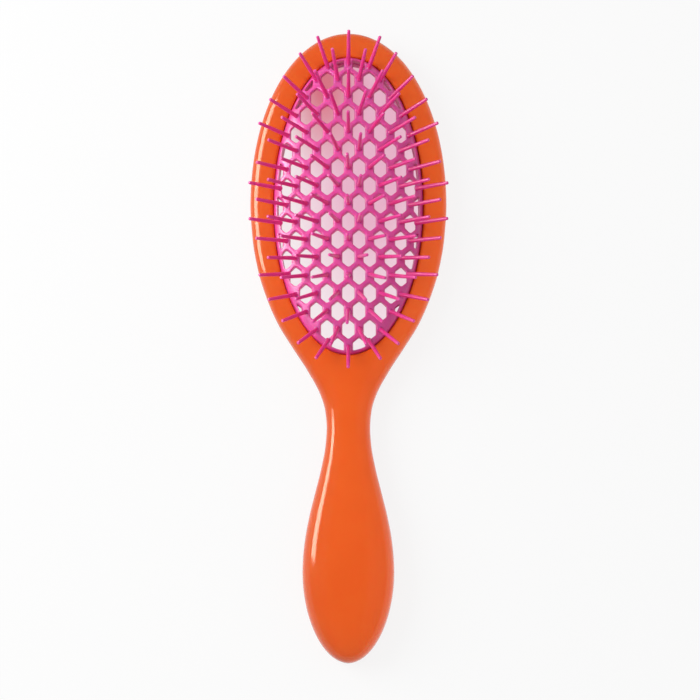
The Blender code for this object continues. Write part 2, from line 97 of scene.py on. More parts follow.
class NodeSheet:
    """The nodes of a material or of the world, added by name and joined by socket names."""

    def __init__(self, owner: bpy.types.Material | bpy.types.World, output: str) -> None:
        """Start an empty sheet.

        Args:
            owner: The material or the world.
            output: Blender's name for its output node's type.
        """
        owner.use_nodes = True
        self.owner = owner
        self.tree = owner.node_tree
        self.tree.nodes.clear()
        self.output = self.add(output)

    @classmethod
    def material(cls, name: str) -> "NodeSheet":
        """Start the sheet of a new material."""
        return cls(bpy.data.materials.new(name), "ShaderNodeOutputMaterial")

    def add(self, kind: str, **settings: object) -> bpy.types.Node:
        """Add one node.

        Args:
            kind: Blender's name for the node's type.
            settings: Properties of the node, or values of its inputs where the name is an input's.

        Returns:
            The new node.
        """
        node = self.tree.nodes.new(kind)
        for key, value in settings.items():
            name = key.replace("_", " ")
            if name in node.inputs:
                node.inputs[name].default_value = value
            else:
                setattr(node, key, value)
        return node

    def join(self, start: Socket, end: Socket) -> None:
        """Join two sockets."""
        self.tree.links.new(start, end)

    def finish(self, surface: Socket) -> bpy.types.Material | bpy.types.World:
        """Join the surface to the output and return the material or the world."""
        self.join(surface, self.output.inputs["Surface"])
        return self.owner

    def place(self) -> Socket:
        """Return the socket of the object's own coordinates, in metres."""
        return self.add("ShaderNodeTexCoord").outputs["Object"]

    def noise(self, scale: float, detail: float, roughness: float) -> Socket:
        """Add a noise over the object's own coordinates.

        Args:
            scale: How many features there are to a metre.
            detail: How many octaves are laid over each other.
            roughness: How strong the finer octaves are.

        Returns:
            The socket of the noise's value.
        """
        node = self.add("ShaderNodeTexNoise", Scale=scale, Detail=detail, Roughness=roughness)
        self.join(self.place(), node.inputs["Vector"])
        return node.outputs["Fac"]

    def span(self, value: Socket, start: Sequence[float], end: Sequence[float]) -> Socket:
        """Map one range of a value on another, clamped.

        Args:
            value: The socket to map.
            start: The two ends of the range that is read.
            end: The two ends of the range that is given.

        Returns:
            The socket of the mapped value.
        """
        node = self.add("ShaderNodeMapRange")
        for name, number in zip(("From Min", "From Max", "To Min", "To Max"), (*start, *end)):
            node.inputs[name].default_value = number
        self.join(value, node.inputs["Value"])
        return node.outputs["Result"]

    def combine(self, kind: str, operation: str, first: Socket, second: object) -> Socket:
        """Combine two values.

        Args:
            kind: Blender's name for the node's type.
            operation: Blender's name for what is done with them.
            first: The socket of the first value.
            second: The second value, or its socket.

        Returns:
            The socket of the result.
        """
        node = self.add(kind, operation=operation)
        self.join(first, node.inputs[0])
        if isinstance(second, Socket):
            self.join(second, node.inputs[1])
        else:
            node.inputs[1].default_value = second
        return node.outputs[0]

    def tint(self, value: Socket, first: Sequence[float] | Socket, second: Sequence[float]) -> Socket:
        """Mix two colours by a value.

        Args:
            value: The socket that runs from 0 at the first colour to 1 at the second.
            first: The first colour, linear, or its socket.
            second: The second colour, linear.

        Returns:
            The socket of the mixed colour.
        """
        node = self.add("ShaderNodeMix", data_type="RGBA")
        near, far = (socket for socket in node.inputs if socket.type == "RGBA")
        if isinstance(first, Socket):
            self.join(first, near)
        else:
            near.default_value = (*first, 1.0)
        far.default_value = (*second, 1.0)
        self.join(value, node.inputs["Factor"])
        return next(socket for socket in node.outputs if socket.type == "RGBA")

    def bump(self, height: Socket, depth: float, under: Socket | None = None) -> Socket:
        """Lay a relief on the surface.

        Args:
            height: The socket of the relief, from 0 to 1.
            depth: The depth of the relief in metres.
            under: The relief that this one lies on, if any.

        Returns:
            The socket of the relief's normal.
        """
        node = self.add("ShaderNodeBump", Strength=1.0, Distance=depth)
        self.join(height, node.inputs["Height"])
        if under:
            self.join(under, node.inputs["Normal"])
        return node.outputs["Normal"]


@dataclass(frozen=True)
class GlossPlastic:
    """Glossy moulded plastic: an even colour, faint flow marks, a slight waviness and fine rub marks.

    Each noise is given by its features to a metre, its octaves and the strength of the finer ones, and
    each range is the part of a noise's values that is read.
    """

    name: str
    colour: Triple = (0.735, 0.103, 0.009)
    deep: Triple = (0.705, 0.092, 0.007)
    gloss: Pair = (0.09, 0.15)
    refraction: float = 1.42
    spread: float = 0.004
    spread_weight: float = 0.35
    spread_colour: Triple = (1.0, 0.2, 0.06)
    flow_noise: Triple = (38.0, 3.0, 0.5)
    flow_range: Pair = (0.35, 0.65)
    gloss_noise: Triple = (900.0, 5.0, 0.6)
    gloss_range: Pair = (0.3, 0.75)
    wave_noise: Triple = (70.0, 1.0, 0.4)
    wave_depth: float = 0.000045
    rub_noise: Triple = (2600.0, 3.0, 0.6)
    rub_depth: float = 0.0000012

    def build(self) -> bpy.types.Material:
        """Make the material.

        Returns:
            The new material.
        """
        sheet = NodeSheet.material(self.name)
        shader = sheet.add(
            "ShaderNodeBsdfPrincipled", IOR=self.refraction, Subsurface_Weight=self.spread_weight,
            Subsurface_Scale=self.spread, Subsurface_Radius=self.spread_colour,
        )
        flow = sheet.span(sheet.noise(*self.flow_noise), self.flow_range, (0, 1))
        sheet.join(sheet.tint(flow, self.colour, self.deep), shader.inputs["Base Color"])
        gloss = sheet.span(sheet.noise(*self.gloss_noise), self.gloss_range, self.gloss)
        sheet.join(gloss, shader.inputs["Roughness"])
        wave = sheet.bump(sheet.noise(*self.wave_noise), self.wave_depth)
        sheet.join(sheet.bump(sheet.noise(*self.rub_noise), self.rub_depth, wave), shader.inputs["Normal"])
        return sheet.finish(shader.outputs["BSDF"])


@dataclass(frozen=True)
class SatinElastomer:
    """Soft moulded elastomer: satin, paler in thin walls and deeper on solid parts and in painted shade along
    the net's edge, with light that spreads in it and a grain.

    Noises and ranges are given as for the plastic.
    """

    name: str
    colour: Triple = (0.90, 0.11, 0.46)
    cloudy: Triple = (0.86, 0.09, 0.42)
    # The deeper colour, for solid parts and for the painted shade along the net's edge.
    solid: Triple = (0.84, 0.042, 0.30)
    satin: Pair = (0.26, 0.36)
    refraction: float = 1.5
    sheen: Pair = (0.03, 0.4)
    spread: float = 0.0016
    spread_weight: float = 0.40
    spread_colour: Triple = (1.0, 0.15, 0.4)
    cloud_noise: Triple = (160.0, 3.0, 0.55)
    cloud_range: Pair = (0.35, 0.65)
    satin_noise: Triple = (1400.0, 4.0, 0.6)
    satin_range: Pair = (0.3, 0.7)
    grain_noise: Triple = (5200.0, 3.0, 0.6)
    grain_depth: float = 0.000006

    def build(self) -> bpy.types.Material:
        """Make the material.

        Returns:
            The new material.
        """
        sheet = NodeSheet.material(self.name)
        shader = sheet.add(
            "ShaderNodeBsdfPrincipled", IOR=self.refraction, Subsurface_Weight=self.spread_weight,
            Subsurface_Scale=self.spread, Subsurface_Radius=self.spread_colour,
            Sheen_Weight=self.sheen[0], Sheen_Roughness=self.sheen[1],
        )
        cloud = sheet.span(sheet.noise(*self.cloud_noise), self.cloud_range, (0, 1))
        thin = sheet.tint(cloud, self.colour, self.cloudy)
        thickness = sheet.add("ShaderNodeAttribute", attribute_name=SOLIDITY_AND_SHADE).outputs["Fac"]
        sheet.join(sheet.tint(thickness, thin, self.solid), shader.inputs["Base Color"])
        satin = sheet.span(sheet.noise(*self.satin_noise), self.satin_range, self.satin)
        sheet.join(satin, shader.inputs["Roughness"])
        sheet.join(sheet.bump(sheet.noise(*self.grain_noise), self.grain_depth), shader.inputs["Normal"])
        return sheet.finish(shader.outputs["BSDF"])


@dataclass(frozen=True)
class StudioPaper:
    """White studio paper that keeps a shadow, with painted light under the net: a pink glow as painted bounce
    light from the net, and a dim salmon glow as painted shade near the head end.

    Each glow is an oval, with its middle, its half-width and half-length, and the shares of these
    between which it fades. Under the net the paper glows, and past the hoop it is white.
    """

    name: str
    colour: Triple = (0.92, 0.92, 0.92)
    grain_noise: Triple = (240.0, 4.0, 0.6)
    grain_range: Pair = (0.3, 0.7)
    grain_share: float = 0.99
    roughness: float = 0.9
    white_share: float = 0.86
    # The glow is painted light: pale pink at the opening's edge, pink as painted bounce light from the net,
    # and a dim salmon as painted shade near the head end of the opening.
    edge_light: Triple = (1.0, 0.93, 0.95)
    pink_light: Triple = (0.87, 0.49, 0.64)
    pink_place: Pair = (0.008, 0.072)
    pink_reach: Pair = (0.031, 0.076)
    pink_fade: Pair = (0.35, 1.0)
    salmon_shade: Triple = (0.74, 0.20, 0.26)
    salmon_place: Pair = (-0.0095, 0.099)
    salmon_reach: Pair = (0.018, 0.036)
    salmon_fade: Pair = (0.15, 1.0)
    hoop_place: Pair = (0.0, 0.0498)
    hoop_reach: Pair = (0.0325, 0.061)
    hoop_fade: Pair = (0.93, 1.07)

    def build(self) -> bpy.types.Material:
        """Make the material.

        Returns:
            The new material.
        """
        sheet = NodeSheet.material(self.name)
        paper = sheet.add("ShaderNodeBsdfPrincipled", Roughness=self.roughness)
        grain = sheet.span(sheet.noise(*self.grain_noise), self.grain_range, (0, 1))
        darker = tuple(self.grain_share * channel for channel in self.colour)
        sheet.join(sheet.tint(grain, self.colour, darker), paper.inputs["Base Color"])
        # Paint the glow: painted bounce light under the net and painted shade near the head end, white past
        # the hoop.
        light = self.edge_light
        for place, reach, fade, ends, colour in (
            (self.pink_place, self.pink_reach, self.pink_fade, (1, 0), self.pink_light),
            (self.salmon_place, self.salmon_reach, self.salmon_fade, (1, 0), self.salmon_shade),
            (self.hoop_place, self.hoop_reach, self.hoop_fade, (0, 1), WHITE),
        ):
            light = sheet.tint(sheet.span(self.distance(sheet, place, reach), fade, ends), light, colour)
        white = sheet.add("ShaderNodeEmission", Strength=1.0)
        sheet.join(light, white.inputs["Color"])
        rays = sheet.add("ShaderNodeLightPath")
        seen = rays.outputs["Is Camera Ray"]
        for name in ("Is Glossy Ray", "Is Transmission Ray"):
            seen = sheet.combine("ShaderNodeMath", "MAXIMUM", seen, rays.outputs[name])
        mix = sheet.add("ShaderNodeMixShader")
        sheet.join(sheet.combine("ShaderNodeMath", "MULTIPLY", seen, self.white_share), mix.inputs["Fac"])
        sheet.join(paper.outputs["BSDF"], mix.inputs[1])
        sheet.join(white.outputs["Emission"], mix.inputs[2])
        return sheet.finish(mix.outputs["Shader"])

    @staticmethod
    def distance(sheet: NodeSheet, middle: Pair, reach: Pair) -> Socket:
        """Measure how far a place on the paper lies from the middle of an oval, 1 on its edge.

        Args:
            sheet: The paper's nodes.
            middle: The oval's middle.
            reach: Half of the oval's width and length.

        Returns:
            The socket of the distance.
        """
        shift = sheet.combine("ShaderNodeVectorMath", "SUBTRACT", sheet.place(), (*middle, 0.0))
        scaled = sheet.combine("ShaderNodeVectorMath", "DIVIDE", shift, (*reach, 1.0))
        length = sheet.add("ShaderNodeVectorMath", operation="LENGTH")
        sheet.join(scaled, length.inputs[0])
        return length.outputs["Value"]


# --------------------------------------------------------------------------------------------------
# Meshes
# --------------------------------------------------------------------------------------------------


@dataclass
class MeshDraft:
    """The corners and faces of one piece while it is being made."""

    corners: list[Triple] = field(default_factory=list)
    faces: list[tuple[int, ...]] = field(default_factory=list)
    thickness: list[float] = field(default_factory=list)

    def add(self, points: Sequence[Sequence[float]], thickness: float = 0.0) -> list[int]:
        """Add corners.

        Args:
            points: Their places in metres.
            thickness: How deep the elastomer's colour is there, from 0 in a thin wall to 1 in a solid rod and
                in the painted shade along the net's edge.

        Returns:
            Their numbers.
        """
        first = len(self.corners)
        self.corners.extend(tuple(float(number) for number in point) for point in points)
        self.thickness.extend([thickness] * len(points))
        return list(range(first, len(self.corners)))

    def strip(self, first: Sequence[int], second: Sequence[int], closed: bool = True) -> None:
        """Join two rows of corners with four-sided faces.

        Args:
            first: One row of corner numbers.
            second: The row beside it, as long.
            closed: Whether the rows run back to their starts.
        """
        count = len(first)
        for index in range(count if closed else count - 1):
            after = (index + 1) % count
            face = []
            for corner in (first[index], first[after], second[after], second[index]):
                if corner not in face:
                    face.append(corner)
            if len(face) > 2:
                self.faces.append(tuple(face))

    def strips(self, rows: Sequence[Sequence[int]], closed: bool = True, ring: bool = False) -> None:
        """Join each row of corners to the next, and in a ring the last to the first."""
        for first, second in zip(rows, [*rows[1:], rows[0]] if ring else rows[1:]):
            self.strip(first, second, closed)

    def fan(self, row: Sequence[int], centre: int, closed: bool = True) -> None:
        """Close a row of corners with three-sided faces that meet in one corner."""
        for index in range(len(row) if closed else len(row) - 1):
            self.faces.append((row[index], row[(index + 1) % len(row)], centre))

    def build(self, name: str, sharp_degrees: float) -> Thing:
        """Make the object, with its faces pointing out.

        Args:
            name: The object's name.
            sharp_degrees: The smallest angle between faces that shows as an edge.

        Returns:
            The new object.
        """
        mesh = bpy.data.meshes.new(name)
        mesh.from_pydata(self.corners, [], self.faces)
        if any(self.thickness):
            mesh.attributes.new(SOLIDITY_AND_SHADE, "FLOAT", "POINT").data.foreach_set("value", self.thickness)
        shape = bmesh.new()
        shape.from_mesh(mesh)
        bmesh.ops.recalc_face_normals(shape, faces=shape.faces)
        loose = sum(not edge.is_manifold for edge in shape.edges)
        shape.to_mesh(mesh)
        shape.free()
        mesh.shade_smooth()
        mesh.set_sharp_from_angle(angle=math.radians(sharp_degrees))
        thing = bpy.data.objects.new(name, mesh)
        bpy.context.scene.collection.objects.link(thing)
        LOG.info("%s: %d corners, %d faces, %d open edges", name, len(self.corners), len(self.faces), loose)
        return thing


def bend(start: object, middle: object, end: object, share: float) -> object:
    """Return the point, or the number, at a share of a curve that is drawn towards its middle one."""
    back = 1 - share
    return start * back**2 + middle * 2 * back * share + end * share**2


def path_run(points: np.ndarray) -> np.ndarray:
    """Return how far along a path each of its points lies."""
    return np.concatenate(([0.0], np.cumsum(np.linalg.norm(np.diff(points, axis=0), axis=1))))


def path_points(points: np.ndarray, stops: np.ndarray) -> np.ndarray:
    """Return the points at these distances along a path."""
    run = path_run(points)
    return np.column_stack([np.interp(stops, run, column) for column in points.T])


def power_arc(share: np.ndarray, power: float) -> np.ndarray:
    """Return the height, as a share, of a superellipse of this power at shares of its half-width."""
    return np.maximum(1.0 - np.minimum(np.abs(share), 1.0) ** power, 0.0) ** (1.0 / power)


def smooth_share(table: Sequence[Pair], place: np.ndarray) -> np.ndarray:
    """Read a smooth curve, with no overshoot, through rows of (place, value).

    Args:
        table: The rows, in order.
        place: The places to read it at.

    Returns:
        The values there.
    """
    places, values = np.array(table).T
    slopes = np.diff(values) / np.diff(places)
    before, after = slopes[:-1], slopes[1:]
    alike = before * after > 0
    total = np.where(alike, before + after, 1.0)
    tangents = np.concatenate(([0.0], np.where(alike, 2 * before * after / total, 0.0), [0.0]))
    index = np.clip(np.searchsorted(places, place) - 1, 0, len(slopes) - 1)
    span = places[index + 1] - places[index]
    step = (place - places[index]) / span
    back = 1 - step
    ends = values[index] * (1 + 2 * step) * back**2 + values[index + 1] * (3 - 2 * step) * step**2
    return ends + span * step * back * (tangents[index] * back - tangents[index + 1] * step)


# --------------------------------------------------------------------------------------------------
# The body
# --------------------------------------------------------------------------------------------------


@dataclass(frozen=True)
class BodyForm:
    """The body's outline and section along the brush, as both shells follow them.

    The head, the neck and the grip are each given by the half-width, the front's rise, the back's drop
    and the section's exponent.
    """

    length: float = 0.232
    head_end: float = 0.0647
    grip_end: float = 0.0322
    neck_place: float = -0.0317
    head: tuple[float, float, float, float] = (0.0361, 0.0090, 0.0095, 3.0)
    neck: tuple[float, float, float, float] = (0.0079, 0.0070, 0.0042, 2.3)
    grip: tuple[float, float, float, float] = (0.01645, 0.0120, 0.0060, 2.5)
    head_powers: Pair = (2.05, 4.0)
    grip_powers: Pair = (1.93, 2.6)
    head_to_neck_shares: tuple[Pair, ...] = (
        (0.0, 1.0), (0.16, 0.968), (0.30, 0.894), (0.43, 0.773), (0.54, 0.630), (0.64, 0.450),
        (0.75, 0.242), (0.855, 0.079), (0.925, 0.019), (1.0, 0.0),
    )
    neck_to_grip_shares: tuple[Pair, ...] = (
        (0.0, 0.0), (0.115, 0.043), (0.28, 0.220), (0.445, 0.466), (0.61, 0.712), (0.775, 0.898),
        (0.90, 0.978), (1.0, 1.0),
    )
    slope_step: float = 0.00002

    @property
    def head_place(self) -> float:
        """Return where the head is widest."""
        return self.length / 2 - self.head_end

    @property
    def grip_place(self) -> float:
        """Return where the grip is widest."""
        return self.grip_end - self.length / 2

    def sections(self, along: np.ndarray) -> tuple[np.ndarray, ...]:
        """Return the body's sizes at places along the brush.

        Args:
            along: The places.

        Returns:
            The half-width, the front's rise, the back's drop and the section's exponent at each place.
        """
        along = np.clip(np.asarray(along, float), -self.length / 2, self.length / 2)
        head, neck, grip = (np.array(row)[:, None] for row in (self.head, self.neck, self.grip))
        flat = along.ravel()
        from_head, from_neck = self.head_place - flat, self.neck_place - flat
        head_span, grip_span = self.head_place - self.neck_place, self.neck_place - self.grip_place
        down = smooth_share(self.head_to_neck_shares, np.clip(from_head / head_span, 0, 1))
        up = smooth_share(self.neck_to_grip_shares, np.clip(from_neck / grip_span, 0, 1))
        sizes = np.where(flat > self.neck_place, head * down + neck * (1 - down), grip * up + neck * (1 - up))
        for share, powers in (
            (-from_head / self.head_end, self.head_powers),
            ((self.grip_place - flat) / self.grip_end, self.grip_powers),
        ):
            reach = np.where(share > 0, share, 0.0)
            sizes[0] *= power_arc(reach, powers[0])
            sizes[1:3] *= power_arc(reach, powers[1])
        return tuple(row.reshape(along.shape) for row in sizes)

    def inward(self, across: np.ndarray, along: np.ndarray) -> np.ndarray:
        """Return the direction into the body, in plan, square to the outline.

        Args:
            across: Places across the brush, which only say which side each point is on.
            along: Places along the brush.

        Returns:
            One direction a row.
        """
        edge = self.length / 2
        low, high = (np.clip(along + step, -edge, edge) for step in (-self.slope_step, self.slope_step))
        slope = (self.sections(high)[0] - self.sections(low)[0]) / (high - low)
        way = np.column_stack((-np.sign(across), slope))
        return way / np.linalg.norm(way, axis=1)[:, None]


@dataclass(frozen=True)
class Opening:
    """The oval opening through both shells."""

    half_width: float = 0.0273
    half_length: float = 0.0558
    place: float = 0.0498

    def edge(self, angle: np.ndarray, offset: float | np.ndarray) -> np.ndarray:
        """Return the plan points of an oval that runs round the opening this far outside its edge."""
        across = (self.half_width + offset) * np.cos(angle)
        return np.column_stack((across, self.place + (self.half_length + offset) * np.sin(angle)))

    def angle_at(self, plan: np.ndarray) -> np.ndarray:
        """Return the oval's angle in the direction of plan points."""
        return np.arctan2((plan[:, 1] - self.place) / self.half_length, plan[:, 0] / self.half_width)


@dataclass
class Shell:
    """One moulded half of the body, as a smooth skin with a softened seam edge and a rounded opening."""

    name: str
    half: Half
    seam: float
    slot: Slot
    form: BodyForm = field(default_factory=BodyForm)
    opening: Opening = field(default_factory=Opening)
    lip: float = 0.0015
    seam_softness: float = 0.00028
    crease_softness: float = 0.0007
    flange_slot: Pair = (0.0037, 0.00745)
    waist: float = -0.0125
    edge_steps: int = 190
    edge_samples: int = 3000
    rib_steps: int = 34
    rib_samples: int = 500
    rib_start: float = 0.6 * MM
    rib_marks_mm: tuple[float, ...] = (0.0, 0.1, 0.2, 0.3, 0.42)
    rib_power: float = 0.25
    seam_marks_mm: tuple[float, ...] = (0.0, 0.07, 0.15, 0.28, 0.5)
    lip_steps: int = 8
    front_wall_shares: Triple = (0.33, 0.66, 1.0)
    back_wall_shares: Pair = (0.5, 1.0)
    slope_share: float = 0.2
    section_steps: int = 34
    handle_steps: int = 92
    end_steps: int = 34
    sharp_degrees: float = 38.0

    def level(self, height: np.ndarray) -> np.ndarray:
        """Return the level of a skin that stands this far from the seam.

        Args:
            height: The section's height there, as the formula gives it.

        Returns:
            The levels, flat where the back rests on the ground.
        """
        if self.half is Half.FRONT:
            return self.seam + height
        near = np.clip(0.5 + 0.5 * (self.seam - height) / self.crease_softness, 0, 1)
        depth = self.seam + (height - self.seam) * near - self.crease_softness * near * (1 - near)
        return self.seam - depth

    def heights(self, across: np.ndarray, along: np.ndarray) -> np.ndarray:
        """Return how far the skin stands from the seam over plan points.

        Args:
            across: Places across the brush.
            along: Places along the brush.

        Returns:
            The heights.
        """
        half_width, rise, drop, power = self.form.sections(along)
        share = np.abs(across) / np.maximum(half_width, TINY)
        tall = rise if self.half is Half.FRONT else drop
        return tall * power_arc(share, power)

    def soften(self, points: np.ndarray) -> np.ndarray:
        """Draw the skin in where it meets the seam, so that the edge is rounded.

        Args:
            points: Points of the skin, one a row.

        Returns:
            The points, moved.
        """
        size = self.seam_softness
        gap = np.clip(size - np.abs(points[:, 2] - self.seam), 0, size)
        shift = size - np.sqrt(size**2 - gap**2)
        moved = points.copy()
        moved[:, :2] += self.form.inward(points[:, 0], points[:, 1]) * shift[:, None]
        return moved

    def section_angles(self) -> np.ndarray:
        """Space the corners of a section, close at the seam.

        Returns:
            Their angles, from the right edge to the left.
        """
        rise = self.form.neck[1 if self.half is Half.FRONT else 2]
        near = np.arcsin((np.array(self.seam_marks_mm) * MM / rise) ** (self.form.neck[3] / 2))
        quarter = np.concatenate((near, np.linspace(near[-1], math.pi / 2, self.section_steps // 2)[1:]))
        return np.concatenate((quarter, (math.pi - quarter[:-1])[::-1]))

    def section(self, along: float, angles: np.ndarray) -> np.ndarray:
        """Return the corners of one section of the handle.

        Args:
            along: The section's place.
            angles: The corners' angles.

        Returns:
            One corner a row.
        """
        half_width, rise, drop, power = (float(size) for size in self.form.sections(np.array(along)))
        tall = rise if self.half is Half.FRONT else drop
        across = half_width * np.copysign(np.abs(np.cos(angles)) ** (2 / power), np.cos(angles))
        height = tall * np.abs(np.sin(angles)) ** (2 / power)
        return np.column_stack((across, np.full_like(across, along), self.level(height)))

    def outline(self) -> np.ndarray:
        """Space plan points evenly along the head's edge.

        Returns:
            One point a row, from the right of the waist to the left.
        """
        form = self.form
        power = form.head_powers[0]
        straight = np.linspace(self.waist, form.head_place, self.edge_samples)
        turn = np.cos(np.linspace(math.pi / 2, 0, self.edge_samples)[1:]) ** (2 / power)
        across = np.concatenate((form.sections(straight)[0], form.head[0] * power_arc(turn, power)))
        along = np.concatenate((straight, form.head_place + form.head_end * turn))
        edge = np.column_stack((across, along))
        right = path_points(edge, np.linspace(0, path_run(edge)[-1], self.edge_steps))
        right[-1] = (0.0, form.length / 2)
        return np.concatenate((right, (right * (-1, 1))[-2::-1]))

    def rib(self, start: np.ndarray, finish: np.ndarray) -> np.ndarray:
        """Space points evenly over the skin between two plan points, and closer at the start.

        Args:
            start: A plan point at the body's edge or at the waist.
            finish: A plan point at the opening's lip.

        Returns:
            One point a row.
        """
        spread = np.linspace(0, 1, self.rib_samples) ** 3
        plan = start + (finish - start) * spread[:, None]
        points = self.soften(np.column_stack((plan, self.level(self.heights(*plan.T)))))
        run = path_run(points)[-1]
        near = np.array(self.rib_marks_mm) * MM
        stops = np.concatenate((near, np.linspace(self.rib_start, run, self.rib_steps)))
        limits = run * np.linspace(0, 1, len(stops)) ** self.rib_power
        return path_points(points, np.minimum(stops, limits))

    def lip_profile(self, lip_level: float, slope: float) -> list[Pair]:
        """Return the opening's wall at one place.

        Args:
            lip_level: The skin's level where the lip starts.
            slope: How much the skin rises there for each unit towards the opening.

        Returns:
            Rows of (distance out of the opening, level), from the lip to the seam.
        """
        corner = lip_level + slope * self.lip
        low = corner - self.half.value * self.lip
        shares = np.linspace(0, 1, self.lip_steps + 1)[1:]
        rows = [(self.lip * (1 - share) ** 2, bend(lip_level, corner, low, share)) for share in shares]
        if self.half is Half.BACK:
            return rows + [(0.0, low + (self.seam - low) * share) for share in self.back_wall_shares]
        reach, ceiling = self.flange_slot
        rows += [(0.0, low + (ceiling - low) * share) for share in self.front_wall_shares]
        return rows + [(reach / 2, ceiling), (reach, ceiling), (reach, self.seam)]

    def build(self) -> Thing:
        """Make the shell's mesh: ribs from the edge to the opening, and sections down the handle.

        Returns:
            The new object.
        """
        draft = MeshDraft()
        angles = self.section_angles()
        waist = self.section(self.waist, angles)[::-1]
        starts = np.concatenate((self.outline(), waist[1:-1, :2]))
        turns = self.opening.angle_at(starts)
        step = self.slope_share * self.lip
        finishes = self.opening.edge(turns, self.lip)
        nearer = self.opening.edge(turns, self.lip - step)
        levels, next_levels = (self.level(self.heights(*plan.T)) for plan in (finishes, nearer))
        slopes = (next_levels - levels) / step
        ribs = []
        for start, finish, turn, level, slope in zip(starts, finishes, turns, levels, slopes):
            walls = [
                (*self.opening.edge(np.array([turn]), offset)[0], height)
                for offset, height in self.lip_profile(level, slope)
            ]
            ribs.append(draft.add(np.concatenate((self.rib(start, finish), walls))))
        draft.strips(ribs, closed=False, ring=True)

        head_count = len(ribs) - (len(waist) - 2)
        row = [ribs[head_count - 1][0]] + [rib[0] for rib in ribs[head_count:]] + [ribs[0][0]]
        seats = self.seam_row(waist, row, draft)
        feet = [rib[0] for rib in ribs[:head_count]] + seats[1:-1]
        draft.strip([rib[-1] for rib in ribs], feet)
        self.add_handle(draft, angles, row, seats)
        thing = draft.build(self.name, self.sharp_degrees)
        return thing

    def seam_row(self, section: np.ndarray, row: Sequence[int], draft: MeshDraft) -> list[int]:
        """Add the corners of a section's flat seam face.

        Args:
            section: The section's corners.
            row: The numbers of the skin's corners there.
            draft: The mesh that they join.

        Returns:
            The numbers of the seam face's corners, whose ends are the skin's own.
        """
        half_width = np.abs(section[:, 0]).max()
        inset = max(half_width - self.seam_softness, 0) / max(half_width, TINY)
        points = [(x * inset, y, self.seam) for x, y, _ in section[1:-1]]
        return [row[0]] + draft.add(points) + [row[-1]]

    def add_handle(self, draft: MeshDraft, angles: np.ndarray, row: list[int], seats: list[int]) -> None:
        """Add the neck and the grip below the waist.

        Args:
            draft: The mesh that they join.
            angles: The angles of a section's corners.
            row: The skin's corners at the waist.
            seats: The seam face's corners at the waist.
        """
        form = self.form
        places = list(np.linspace(self.waist, form.grip_place, self.handle_steps)[1:])
        turn = np.linspace(math.pi / 2, 0, self.end_steps)[1:-1]
        places += list(form.grip_place - form.grip_end * np.cos(turn) ** (2 / form.grip_powers[0]))
        for along in places:
            section = self.section(along, angles)[::-1]
            after = draft.add(self.soften(section))
            floor = self.seam_row(section, after, draft)
            draft.strip(row, after, closed=False)
            draft.strip(seats, floor, closed=False)
            row, seats = after, floor
        tip = draft.add([(0, -form.length / 2 + self.seam_softness, self.seam)])[0]
        draft.fan(row, tip, closed=False)
        draft.fan(seats, tip, closed=False)


# --------------------------------------------------------------------------------------------------
# The pad
# --------------------------------------------------------------------------------------------------


@dataclass
class PadRim:
    """The clamped flange and the thin skirt that carries the net."""

    opening: Opening = field(default_factory=Opening)
    seam: float = 0.00565
    flange_top: float = 0.00715
    skirt_top: float = 0.00975
    flange_reach: float = 0.0034
    outer: float = -0.0005
    inner: float = -0.0017
    rounding: float = 0.0003
    rounding_shares: tuple[float, ...] = (0.0, 0.3, 0.7, 1.0)
    outer_marks_mm: tuple[float, ...] = (0.8, 1.3, 1.8)
    inner_marks_mm: tuple[float, ...] = (0.8, 1.4, 2.0, 2.6, 3.2)
    steps: int = 288
    sharp_degrees: float = 40.0

    def profile(self) -> list[Pair]:
        """Round the corners of the rim's section and divide its skirt.

        Returns:
            Rows of (distance out of the opening, level).
        """
        corners = [
            (self.inner, self.seam), (self.flange_reach, self.seam), (self.flange_reach, self.flange_top),
            (self.outer, self.flange_top), (self.outer, self.skirt_top), (self.inner, self.skirt_top),
        ]
        marks = {
            (self.outer, self.flange_top): [self.flange_top + mark * MM for mark in self.outer_marks_mm],
            (self.inner, self.skirt_top): [self.skirt_top - mark * MM for mark in self.inner_marks_mm],
        }
        rows = []
        for index, corner in enumerate(corners):
            here = np.array(corner)
            ways = [np.array(corners[other % len(corners)]) - here for other in (index - 1, index + 1)]
            start, end = (here + way / np.linalg.norm(way) * self.rounding for way in ways)
            rows += [tuple(bend(start, here, end, share)) for share in self.rounding_shares]
            rows += [(corner[0], level) for level in marks.get(corner, ())]
        return rows

    def build(self) -> Thing:
        """Make the rim's mesh.

        Returns:
            The new object.
        """
        draft = MeshDraft()
        angles = np.linspace(0, 2 * math.pi, self.steps, endpoint=False)
        rings = []
        for offset, level in self.profile():
            plan = self.opening.edge(angles, offset)
            rings.append(draft.add(np.column_stack((plan, np.full(len(plan), level)))))
        draft.strips(rings, ring=True)
        thing = draft.build("skirt_ring", self.sharp_degrees)
        return thing


